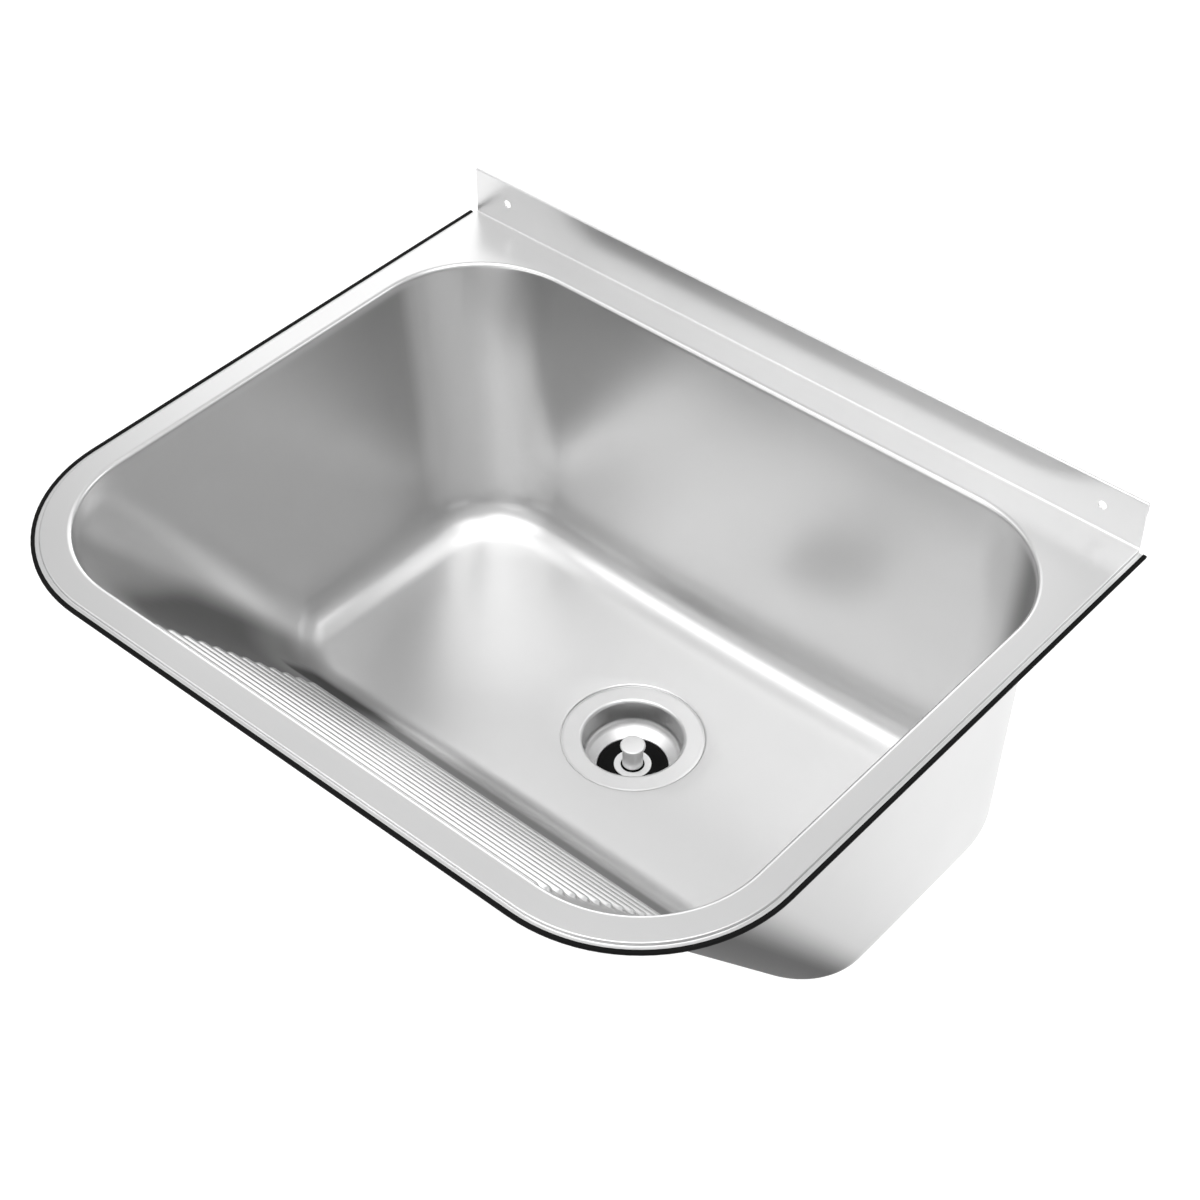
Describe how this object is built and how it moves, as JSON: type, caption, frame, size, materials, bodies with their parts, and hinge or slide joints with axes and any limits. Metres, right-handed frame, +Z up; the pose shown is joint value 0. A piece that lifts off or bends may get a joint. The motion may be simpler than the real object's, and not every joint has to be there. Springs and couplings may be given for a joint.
{
  "type": "wall-mounted utility sink",
  "caption": "Deep wall-hung stainless utility sink with a sloped washboard front, a flat rim with a black edge strip, a screw-on upstand and a lift-out drain stopper.",
  "frame": {"origin": "midway between the two wall screw holes, on the wall plane that the hem's back lies on", "axes": "+X along the wall to the right as seen from in front, +Y into the wall, +Z up"},
  "size_m": [0.55, 0.452, 0.3324],
  "materials": {
    "satin_stainless": "satin",
    "bright_stainless": "fine satin",
    "black_rubber": "matte",
    "slip_fibre": "matte",
    "nut_plastic": "moulded",
    "outlet_brass": "turned"
  },
  "bodies": {
    "sink": {"basin": "satin_stainless", "rim_deck": "satin_stainless", "edge_strip": "black_rubber", "drain_cup": "bright_stainless", "flange_seal": "black_rubber", "underside_gasket": "black_rubber", "slip_washer": "slip_fibre", "lock_nut": "nut_plastic", "outlet_spigot": "outlet_brass", "guide_cross": "nut_plastic"},
    "stopper": {"stopper_seal": "black_rubber", "stopper_washer": "bright_stainless", "stopper_knob": "bright_stainless", "stopper_stem": "bright_stainless", "stopper_backing": "bright_stainless", "stem_nut": "bright_stainless", "stem_grip": "black_rubber"}
  },
  "joints": [
    {"name": "stopper_lift", "type": "slide", "parent": "sink", "child": "stopper", "axis": [0, 0, 1], "range_m": [0, 0.3]}
  ]
}
